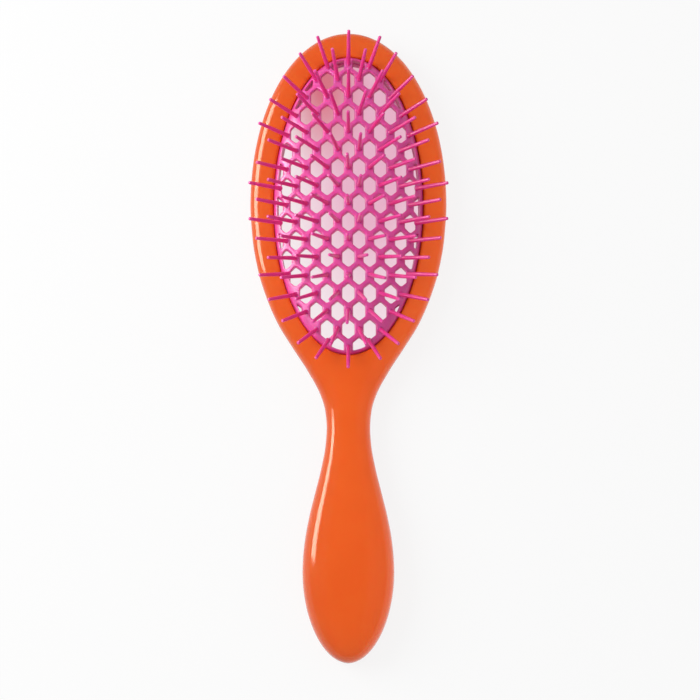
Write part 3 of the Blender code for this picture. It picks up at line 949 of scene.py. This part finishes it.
@dataclass
class PinNet:
    """The domed net with its hexagonal windows and its splayed pins, one moulding."""

    opening: Opening = field(default_factory=Opening)
    clearance: float = 0.0007
    base: float = 0.01005
    crown: float = 0.0105
    edge_height: float = 0.0012
    edge_reach: float = 0.00064
    edge_depth: float = 0.0016
    wall: float = 0.0020
    rim: float = 0.0015
    dome_power: float = 2.3
    column_pitch: float = 0.0077
    row_pitch: float = 0.00665
    crown_slip: float = 0.0015
    side_crowding: float = 0.05
    head_crowding: float = 0.015
    crowding_power: float = 4.0
    pin_field: float = 1.045
    window_field: float = 1.20
    window: Triple = (0.0043, 0.0071, 0.0036)
    window_corner: float = 0.00062
    window_edge: float = 0.00048
    window_draft: float = 0.00022
    window_edge_degrees: Triple = (22.5, 45.0, 67.5)
    window_foot: float = 0.2 * MM
    window_foot_share: float = 0.25
    whole_window: float = 0.98
    smallest_window: float = 0.0004
    shortest_side: float = 1e-7
    corner_share: float = 0.45
    corner_steps: int = 7
    fewest_points: int = 18
    point_step: float = 0.00036
    oval_steps: int = 288
    fill_step: float = 0.0009
    fill_row_share: float = 0.866
    fill_margin: float = 0.5 * MM
    fill_edge_gap: float = 0.4 * MM
    fill_hole_gap: float = 0.35 * MM
    join_tolerance: float = 1e-7
    least_spread: float = 0.1
    band_mm: tuple[float, ...] = (0.0, 0.002, 0.01, 0.03, 0.07, 0.13, 0.22, 0.35, 0.5, 0.65)
    edge_rows_mm: tuple[Pair, ...] = ((0.0, 0.7), (0.0, 0.3), (0.1, 0.09), (0.3, 0.0))
    pin_length: float = 0.0138
    pin_root: float = 0.00080
    pin_tip: float = 0.00058
    pin_flare: float = 0.00105
    pin_flare_height: float = 0.0010
    pin_sides: int = 16
    heel_point: float = 0.7 * MM
    heel_depth: float = 0.6 * MM
    heel_radius: float = 0.5 * MM
    base_sink: float = 0.08 * MM
    base_rise: float = 0.3 * MM
    flare_shares: tuple[float, ...] = (0.15, 0.3, 0.45, 0.6, 0.8, 1.0)
    flare_thickness: float = 0.3
    shaft_rows: tuple[Pair, ...] = ((0.3, 0.95), (0.65, 0.85), (0.9, 0.7), (1.0, 0.5))
    cap: float = 0.3 * MM
    cap_power: float = 2.6
    cap_fullness: float = 0.97
    cap_shares: tuple[float, ...] = (0.35, 0.65, 0.88, 0.98)
    cap_thickness: float = 0.3
    side_lean_length: float = 0.0181
    head_lean_share: float = 1.06
    neck_lean_share: float = 0.92
    end_lean_power: float = 1.7
    edge_distance: float = 0.0017
    upright_pins: tuple[tuple[float, int], ...] = ((0.5, -1), (0.5, 1), (0.5, 3))
    upright_share: float = 0.2
    sway: float = 0.018
    side_calm: float = 0.7
    seed: int = 7
    sharp_degrees: float = 42.0

    @property
    def half_width(self) -> float:
        """Return half of the net's width."""
        return self.opening.half_width - self.clearance

    @property
    def half_length(self) -> float:
        """Return half of the net's length."""
        return self.opening.half_length - self.clearance

    def half_sizes(self, inset: float) -> np.ndarray:
        """Return half of the width and length of the oval that lies this far inside the net's edge."""
        return np.array((self.half_width, self.half_length)) + (self.edge_reach - inset)

    def dome(self, across: np.ndarray, along: np.ndarray, inset: float, crown: float) -> np.ndarray:
        """Return the height of a dome over plan points measured from the middle of the opening.

        Args:
            across: Places across.
            along: Places along.
            inset: How far the dome's edge lies inside the net's.
            crown: The dome's height.

        Returns:
            The heights.
        """
        half_width, half_length = self.half_sizes(inset)
        spread = np.hypot(across / half_width, along / half_length)
        return crown * power_arc(spread, self.dome_power)

    def top(self, across: np.ndarray, along: np.ndarray) -> np.ndarray:
        """Return the level of the net's front face over plan points."""
        return self.base + self.edge_height + self.dome(across, along, 0.0, self.crown - self.edge_height)

    def under(self, across: np.ndarray, along: np.ndarray) -> np.ndarray:
        """Return the level of the net's hollow side over plan points."""
        return self.base + self.dome(across, along, self.rim, self.crown - self.wall)

    def node(self, column: float, row: float) -> np.ndarray:
        """Place one node of the net's pattern.

        Args:
            column: Its column, counted from the middle.
            row: Its row, counted from the middle.

        Returns:
            The plan point.
        """
        across, along = column * self.column_pitch, row * self.row_pitch
        side = abs(across / self.half_width)
        way = along / self.half_length
        slip = self.crown_slip * (1 - way**2)
        return np.array((
            across * (1 - self.side_crowding * side**self.crowding_power),
            along * (1 - self.head_crowding * max(way, 0) ** self.crowding_power) - slip,
        ))

    def nodes(self, pins: bool) -> list[tuple[float, int]]:
        """Return the (column, row) of each pin, or of each window.

        Args:
            pins: Whether pins are asked for.

        Returns:
            The columns and rows.
        """
        reach = self.pin_field if pins else self.window_field
        width, length = self.half_width / self.column_pitch, self.half_length / self.row_pitch
        rows, columns = math.ceil(length), math.ceil(width)
        found = []
        for row in range(-rows, rows + 1):
            shift = 0.5 if (row % 2 == 1) == pins else 0.0
            for step in range(-columns, columns + 1):
                if math.hypot((step + shift) / width, row / length) < reach:
                    found.append((step + shift, row))
        return found

    def oval(self, inset: float) -> np.ndarray:
        """Return the plan points of the oval that lies this far inside the net's edge, anticlockwise."""
        angles = np.linspace(0, 2 * math.pi, self.oval_steps, endpoint=False)
        return np.column_stack((np.cos(angles), np.sin(angles))) * self.half_sizes(inset)

    def window_outline(self, column: float, row: float) -> np.ndarray:
        """Return a window's corners, cut off at the net's solid rim, anticlockwise.

        Args:
            column: The window's column.
            row: The window's row.

        Returns:
            One plan point a row, or none where the window lies past the rim.
        """
        width, length, side = self.window
        half = width / 2 / self.column_pitch
        tall, flat = length / 2 / self.row_pitch, side / 2 / self.row_pitch
        corners = ((half, flat), (0, tall), (-half, flat), (-half, -flat), (0, -tall), (half, -flat))
        outline = [self.node(column + across, row + along) for across, along in corners]
        inner = np.array((self.half_width, self.half_length)) - self.rim
        if np.all(np.linalg.norm(outline / inner, axis=1) < self.whole_window):
            return np.array(outline)
        limit = self.oval(self.rim)
        for start, end in zip(limit, np.roll(limit, -1, axis=0)):
            way = end - start
            inside = [way[0] * (point[1] - start[1]) - way[1] * (point[0] - start[0]) for point in outline]
            cut = []
            for index, point in enumerate(outline):
                if (inside[index] > 0) != (inside[index - 1] > 0):
                    share = inside[index - 1] / (inside[index - 1] - inside[index])
                    cut.append(outline[index - 1] + (point - outline[index - 1]) * share)
                if inside[index] > 0:
                    cut.append(point)
            outline = cut
        return np.array(outline)

    def rounded(self, outline: np.ndarray) -> np.ndarray:
        """Round an outline's corners and space its points evenly.

        Args:
            outline: The outline's corners, anticlockwise.

        Returns:
            The finer outline.
        """
        points = []
        count = len(outline)
        for index, here in enumerate(outline):
            before, after = outline[index - 1] - here, outline[(index + 1) % count] - here
            lengths = np.linalg.norm(before), np.linalg.norm(after)
            if min(lengths) < self.shortest_side:
                continue
            before, after = before / lengths[0], after / lengths[1]
            half_turn = math.acos(float(np.clip(before @ after, -1, 1))) / 2
            most = self.corner_share * min(lengths)
            reach = min(self.window_corner / max(math.tan(half_turn), 1e-6), most)
            start, end = here + before * reach, here + after * reach
            points += [bend(start, here, end, share) for share in np.linspace(0, 1, self.corner_steps)]
        loop = np.array(points + points[:1])
        run = path_run(loop)[-1]
        steps = max(self.fewest_points, round(run / self.point_step))
        return path_points(loop, np.linspace(0, run, steps, endpoint=False))

    def windows(self) -> list[np.ndarray]:
        """Shape the windows that are wide enough to mould.

        Returns:
            Their rounded outlines.
        """
        kept = []
        for column, row in self.nodes(pins=False):
            outline = self.window_outline(column, row)
            if len(outline) < 3:
                continue
            after = np.roll(outline, -1, axis=0)
            area = float(np.sum(outline[:, 0] * after[:, 1] - outline[:, 1] * after[:, 0])) / 2
            around = float(np.linalg.norm(after - outline, axis=1).sum())
            if 2 * area / around > self.smallest_window:
                kept.append(self.rounded(outline))
        return kept

    @staticmethod
    def outward(outline: np.ndarray) -> np.ndarray:
        """Find the direction out of an outline at each of its points.

        Args:
            outline: The outline's points, anticlockwise.

        Returns:
            One direction a row.
        """
        way = np.roll(outline, -1, axis=0) - np.roll(outline, 1, axis=0)
        normal = np.column_stack((way[:, 1], -way[:, 0]))
        return normal / np.linalg.norm(normal, axis=1)[:, None]

    def filling(self, holes: Sequence[np.ndarray], inset: float) -> list[np.ndarray]:
        """Return plan points that fill the net between its windows.

        Args:
            holes: The outlines that stay clear.
            inset: How far the filled oval lies inside the net's edge.

        Returns:
            The points.
        """
        step = self.fill_step
        rows = np.arange(-self.half_length, self.half_length, step * self.fill_row_share)
        points = np.array([
            (across + (row % 2) * step / 2, along)
            for row, along in enumerate(rows)
            for across in np.arange(-self.half_width, self.half_width, step)
        ])
        points = points[np.hypot(*(points / self.half_sizes(inset + self.fill_edge_gap)).T) < 1]
        for hole in holes:
            low, high = hole.min(axis=0) - self.fill_margin, hole.max(axis=0) + self.fill_margin
            near = np.all((points > low) & (points < high), axis=1)
            way = np.roll(hole, -1, axis=0) - hole
            unit = way / np.linalg.norm(way, axis=1)[:, None]
            offset = points[near][:, None, :] - hole[None, :, :]
            depth = (unit[None, :, 0] * offset[:, :, 1] - unit[None, :, 1] * offset[:, :, 0]).min(axis=1)
            drop = np.zeros(len(points), bool)
            drop[np.nonzero(near)[0][depth > -self.fill_hole_gap]] = True
            points = points[~drop]
        return list(points)

    def build(self) -> Thing:
        """Make the net and its pins as one mesh.

        Returns:
            The new object.
        """
        draft = MeshDraft()
        band = np.array(self.band_mm) * MM
        windows = self.windows()
        widening = self.window_draft + self.window_edge
        holes = [outline + self.outward(outline) * widening for outline in windows]
        points, loops = [], []
        for outline in [self.oval(band[-1])] + holes:
            loops.append(list(range(len(points), len(points) + len(outline))))
            points.extend(outline)
        points.extend(self.filling(holes, band[-1]))
        scale = self.half_length
        places, _, triangles, sources, _, owners = delaunay_2d_cdt(
            [Vector(point) / scale for point in points], [], loops, 1, self.join_tolerance
        )
        kept = [triangle for triangle, owner in zip(triangles, owners) if max(owner) == 0]
        used = sorted({corner for triangle in kept for corner in triangle})
        number = {corner: index for index, corner in enumerate(used)}
        plan = np.array([place * scale for place in places])[used]
        front = self.add_level(draft, plan, self.top(*plan.T))
        back = self.add_level(draft, plan, self.under(*plan.T))
        # Deepen the colour in a band inside the net's edge, from 1 at the edge to 0 at edge_depth inside:
        # painted shade where the net meets the hoop.
        spread = np.maximum(np.linalg.norm(plan / self.half_sizes(0.0), axis=1), self.least_spread)
        insets = np.linalg.norm(plan, axis=1) * (1 / spread - 1)
        for corners in (front, back):
            for corner, inset in zip(corners, insets):
                draft.thickness[corner] = max(0.0, 1.0 - float(inset) / self.edge_depth)
        for triangle in kept:
            draft.faces.append(tuple(front[number[corner]] for corner in triangle))
            draft.faces.append(tuple(back[number[corner]] for corner in reversed(triangle)))
        found = {point: number[index] for index in used for point in sources[index]}
        edges = [[[face[found[point]] for point in loop] for face in (front, back)] for loop in loops]
        self.add_band(draft, band, *edges[0])
        for outline, hole, edge in zip(windows, holes, edges[1:]):
            self.add_window(draft, outline, hole, *edge)
        self.add_pins(draft)
        draft.corners = [(x, y + self.opening.place, z) for x, y, z in draft.corners]
        thing = draft.build("pin_net", self.sharp_degrees)
        return thing

    @staticmethod
    def add_level(draft: MeshDraft, plan: np.ndarray, levels: np.ndarray) -> list[int]:
        """Add corners over plan points and return their numbers."""
        return draft.add(np.column_stack((plan, levels)))

    def add_band(self, draft: MeshDraft, band: np.ndarray, front: list[int], back: list[int]) -> None:
        """Add the net's solid rim, from the edge of the filled oval round to the hollow side.

        Args:
            draft: The mesh that it joins.
            band: How far each ring of the rim lies inside the net's edge.
            front: The front face's corners along the filled oval.
            back: The hollow side's corners along it.
        """
        rings = [front]
        for inset in band[-2::-1]:
            plan = self.oval(inset)
            # Painted shade: the rim's rings deepen towards the net's edge.
            thickness = 1.0 - inset / self.edge_depth
            rings.append(draft.add(np.column_stack((plan, self.top(*plan.T))), thickness))
        for inset, height in self.edge_rows_mm:
            plan = self.oval(inset * MM)
            rings.append(draft.add([(x, y, self.base + height * MM) for x, y in plan], 1.0))
        draft.strips([*rings, back])

    def add_window(
        self, draft: MeshDraft, outline: np.ndarray, hole: np.ndarray, front: list[int], back: list[int]
    ) -> None:
        """Add one window's wall: a rounded front edge, then a draft that narrows it to its own outline.

        Args:
            draft: The mesh that it joins.
            outline: The window's outline where it is narrowest.
            hole: The outline where the rounding of its front edge starts.
            front: The front face's corners along the hole.
            back: The hollow side's corners along it.
        """
        rings = [front]
        wide = outline + (hole - outline) * self.window_draft / (self.window_draft + self.window_edge)
        for degrees in self.window_edge_degrees:
            angle = math.radians(degrees)
            plan = wide + (hole - wide) * (1 - math.sin(angle))
            drop = self.window_edge * (1 - math.cos(angle))
            rings.append(self.add_level(draft, plan, self.top(*plan.T) - drop))
        rings.append(self.add_level(draft, wide, self.top(*wide.T) - self.window_edge))
        rings.append(self.add_level(draft, outline, self.under(*outline.T) + self.window_foot))
        foot = outline + (hole - outline) * self.window_foot_share
        rings.append(self.add_level(draft, foot, self.under(*foot.T)))
        draft.strips([*rings, back])

    def add_pins(self, draft: MeshDraft) -> None:
        """Add every pin, with a slight sway that is calmer towards the sides.

        Args:
            draft: The mesh that they join.
        """
        random = np.random.default_rng(self.seed)
        for column, row in self.nodes(pins=True):
            root, lean, normal = self.pin_axis(column, row)
            if (column, row) in self.upright_pins:
                lean.x *= self.upright_share
            calm = 1.0 - self.side_calm * abs(root.x) / self.half_width
            sway = random.normal(0.0, self.sway, 2) * calm
            self.add_pin(draft, root, (lean + Vector((*sway, 0.0))).normalized(), normal)

    def pin_axis(self, column: float, row: int) -> tuple[Vector, Vector, Vector]:
        """Return the root of a pin on the dome, the way it leans and the dome's normal there.

        Args:
            column: The pin's column.
            row: The pin's row.

        Returns:
            The root, the lean and the normal.
        """
        place = self.node(column, row)
        limit = np.array((self.half_width, self.half_length)) - self.edge_distance
        x, y = place / max(math.hypot(*(place / limit)), 1.0)
        share = abs(y) / self.half_length
        most = self.head_lean_share if y > 0 else self.neck_lean_share
        end_lean = math.copysign(most * share**self.end_lean_power, y)
        lean = Vector((x / self.side_lean_length, end_lean, 1.0)).normalized()
        reach = self.pin_root
        slope_x = float(self.top(x + reach, y) - self.top(x - reach, y)) / (2 * reach)
        slope_y = float(self.top(x, y + reach) - self.top(x, y - reach)) / (2 * reach)
        return Vector((x, y, float(self.top(x, y)))), lean, Vector((-slope_x, -slope_y, 1.0)).normalized()

    def pin_radius(self, reach: float) -> float:
        """Return the radius of a pin's shaft this far from its root."""
        return self.pin_root + (self.pin_tip - self.pin_root) * reach / self.pin_length

    def add_pin(self, draft: MeshDraft, root: Vector, lean: Vector, normal: Vector) -> None:
        """Add one pin: a flared root on the dome, a slight taper and a flat, softly rounded tip.

        Args:
            draft: The mesh that it joins.
            root: The pin's root on the dome.
            lean: The way it leans.
            normal: The dome's normal at the root.
        """
        first = lean.cross(Vector((0, 1, 0))).normalized()
        second = lean.cross(first)
        turns = [2 * math.pi * side / self.pin_sides for side in range(self.pin_sides)]
        spokes = [first * math.cos(turn) + second * math.sin(turn) for turn in turns]

        def ring(reach: float, radius: float, thickness: float) -> list[int]:
            """Add the corners round the pin at one distance from its root."""
            return draft.add([root + lean * reach + spoke * radius for spoke in spokes], thickness)

        heel, base, foot, neck = [], [], [], []
        rise = self.pin_flare_height
        for spoke in spokes:
            seat = spoke - lean * (spoke.dot(normal) / lean.dot(normal))
            wide = root + seat * self.pin_flare
            level = float(self.top(wide.x, wide.y)) - self.base_sink
            heel.append(root - normal * self.heel_depth + spoke * self.heel_radius)
            base.append(Vector((wide.x, wide.y, min(level, wide.z + self.base_rise))))
            foot.append(root + seat * self.pin_root)
            neck.append(root + lean * rise + spoke * self.pin_radius(rise))
        rings = [draft.add(heel), draft.add(base)]
        for share in self.flare_shares:
            curve = [bend(start, middle, end, share) for start, middle, end in zip(base, foot, neck)]
            rings.append(draft.add(curve, min(1.0, self.flare_thickness + share)))
        for share, thickness in self.shaft_rows:
            reach = rise + (self.pin_length - self.cap - rise) * share
            rings.append(ring(reach, self.pin_radius(reach), thickness))
        for share in self.cap_shares:
            radius = self.pin_tip * float(power_arc(np.array(share * self.cap_fullness), self.cap_power))
            rings.append(ring(self.pin_length - self.cap + self.cap * share, radius, self.cap_thickness))
        draft.strips(rings)
        draft.fan(rings[-1], draft.add([root + lean * self.pin_length], self.cap_thickness)[0])
        draft.fan(rings[0][::-1], draft.add([root - normal * self.heel_point])[0])


# --------------------------------------------------------------------------------------------------
# The studio
# --------------------------------------------------------------------------------------------------


@dataclass(frozen=True)
class Lamp:
    """One soft lamp: its place, what it faces, its size, how strong it is and what it lights."""

    name: str
    place: Triple
    target: Triple
    size: Pair
    power: float
    colour: Triple = WHITE
    mirrored: bool = False
    diffuse: bool = True
    lights: Lit = Lit.ALL

    def build(self, pieces: dict[Lit, Sequence[Thing]]) -> None:
        """Put the lamp up, for highlights or for plain light, on everything or on some of the pieces.

        Args:
            pieces: The pieces that a lamp lights which is meant for them alone.
        """
        data = bpy.data.lights.new(self.name, "AREA")
        data.shape = "RECTANGLE"
        data.size, data.size_y = self.size
        data.energy = self.power
        data.color = self.colour
        lamp = bpy.data.objects.new(self.name, data)
        lamp.visible_glossy = self.mirrored
        lamp.visible_diffuse = self.diffuse
        lamp.location = self.place
        way = Vector(self.target) - Vector(self.place)
        lamp.rotation_euler = way.to_track_quat("-Z", "Y").to_euler()
        bpy.context.scene.collection.objects.link(lamp)
        if self.lights in pieces:
            lit = bpy.data.collections.new(self.name)
            for piece in pieces[self.lights]:
                lit.objects.link(piece)
            lamp.light_linking.receiver_collection = lit


@dataclass
class Studio:
    """The paper, the light and the camera."""

    zenith: float = 0.34
    horizon: float = 0.52
    lens: float = 113.4
    sensor: float = 36.0
    eye: Triple = (0.00058, -0.1424, 0.7958)
    tilt_degrees: float = 10.0
    clip: Pair = (0.01, 30.0)
    paper_level: float = -0.0002
    paper_reach: float = 6.0
    paper_sharp_degrees: float = 30.0
    lamps: tuple[Lamp, ...] = (
        Lamp(
            "strip_left", (-0.52, 0.215, 0.152), (0.0, 0.125, 0.02), (0.43, 0.20), 3.9,
            colour=(1.0, 0.92, 0.76), mirrored=True, diffuse=False,
        ),
        Lamp("soft_left", (-0.52, 0.15, 0.45), (0.0, 0.02, 0.0), (0.50, 0.50), 3.7),
        Lamp("fill_right", (0.54, -0.12, 0.50), (0.0, 0.0, 0.0), (0.60, 0.60), 3.7, lights=Lit.SHELLS),
        Lamp(
            "sheen_left", (-0.50, 0.08, 0.32), (0.0, 0.05, 0.01), (0.60, 0.36), 4.0,
            mirrored=True, diffuse=False, lights=Lit.PAD,
        ),
    )

    def build(self, pieces: dict[Lit, Sequence[Thing]]) -> None:
        """Set the whole studio up.

        Args:
            pieces: The pieces that a lamp lights which is meant for them alone.
        """
        self.lay_paper()
        self.light_world()
        for lamp in self.lamps:
            lamp.build(pieces)
        self.place_camera()
        bpy.context.scene.view_settings.view_transform = "Standard"

    def lay_paper(self) -> None:
        """Lay the paper under the brush."""
        draft = MeshDraft()
        reach = self.paper_reach
        corners = ((-reach, -reach), (reach, -reach), (reach, reach), (-reach, reach))
        draft.faces.append(tuple(draft.add([(*corner, self.paper_level) for corner in corners])))
        paper = draft.build("paper", self.paper_sharp_degrees)
        paper.data.materials.append(StudioPaper("studio_paper").build())

    def light_world(self) -> None:
        """Light the studio softly from all round, dimmer from above, and show white to the camera."""
        sheet = NodeSheet(bpy.data.worlds.new("studio"), "ShaderNodeOutputWorld")
        axes = sheet.add("ShaderNodeSeparateXYZ")
        sheet.join(sheet.add("ShaderNodeTexCoord").outputs["Generated"], axes.inputs["Vector"])
        square = sheet.combine("ShaderNodeMath", "MULTIPLY", axes.outputs["Z"], axes.outputs["Z"])
        choice = sheet.add("ShaderNodeMix", B=1.0)
        sheet.join(sheet.add("ShaderNodeLightPath").outputs["Is Camera Ray"], choice.inputs["Factor"])
        sheet.join(sheet.span(square, (0, 1), (self.horizon, self.zenith)), choice.inputs["A"])
        back = sheet.add("ShaderNodeBackground", Color=(*WHITE, 1.0))
        sheet.join(choice.outputs["Result"], back.inputs["Strength"])
        bpy.context.scene.world = sheet.finish(back.outputs["Background"])

    def place_camera(self) -> None:
        """Put the camera where the photograph was taken from."""
        data = bpy.data.cameras.new("camera")
        data.lens = self.lens
        data.sensor_width = self.sensor
        data.clip_start, data.clip_end = self.clip
        camera = bpy.data.objects.new("camera", data)
        camera.location = self.eye
        camera.rotation_euler = Euler((math.radians(self.tilt_degrees), 0, 0))
        bpy.context.scene.collection.objects.link(camera)
        bpy.context.scene.camera = camera


# --------------------------------------------------------------------------------------------------
# Assembly
# --------------------------------------------------------------------------------------------------


def finish_with(thing: Thing, finish: GlossPlastic | SatinElastomer) -> None:
    """Give a piece its finish."""
    thing.data.materials.clear()
    thing.data.materials.append(finish.build())


def dress_shells() -> list[Thing]:
    """Replace the two shells' solids with their smooth skins.

    Returns:
        The two new pieces.
    """
    made = []
    for shell, node in (
        (Shell("hoop_and_handle_front", Half.FRONT, 0.00565, Slot.FRONT), "front_shell"),
        (Shell("hoop_and_handle_back", Half.BACK, 0.00535, Slot.BACK, lip=0.0006), "back_shell"),
    ):
        thing = shell.build()
        finish_with(thing, GlossPlastic(shell.name))
        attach(thing, "frame")
        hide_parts(node)
        made.append(thing)
    return made


def dress_pad() -> list[Thing]:
    """Replace the rim's and the net's solids with their finer forms.

    Returns:
        The two new pieces.
    """
    rim = PadRim()
    skirt = rim.build()
    finish_with(skirt, SatinElastomer("skirt_elastomer"))
    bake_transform(skirt)
    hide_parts("pad_rim")
    net = PinNet().build()
    finish_with(net, SatinElastomer("net_elastomer"))
    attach(net, "pad")
    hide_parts("pin_pad")
    return [skirt, net]


def main() -> None:
    """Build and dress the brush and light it."""
    logging.basicConfig(level=logging.INFO, format="%(name)s: %(message)s")
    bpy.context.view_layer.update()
    Studio().build({Lit.SHELLS: dress_shells(), Lit.PAD: dress_pad()})


if __name__ == "__main__":
    main()
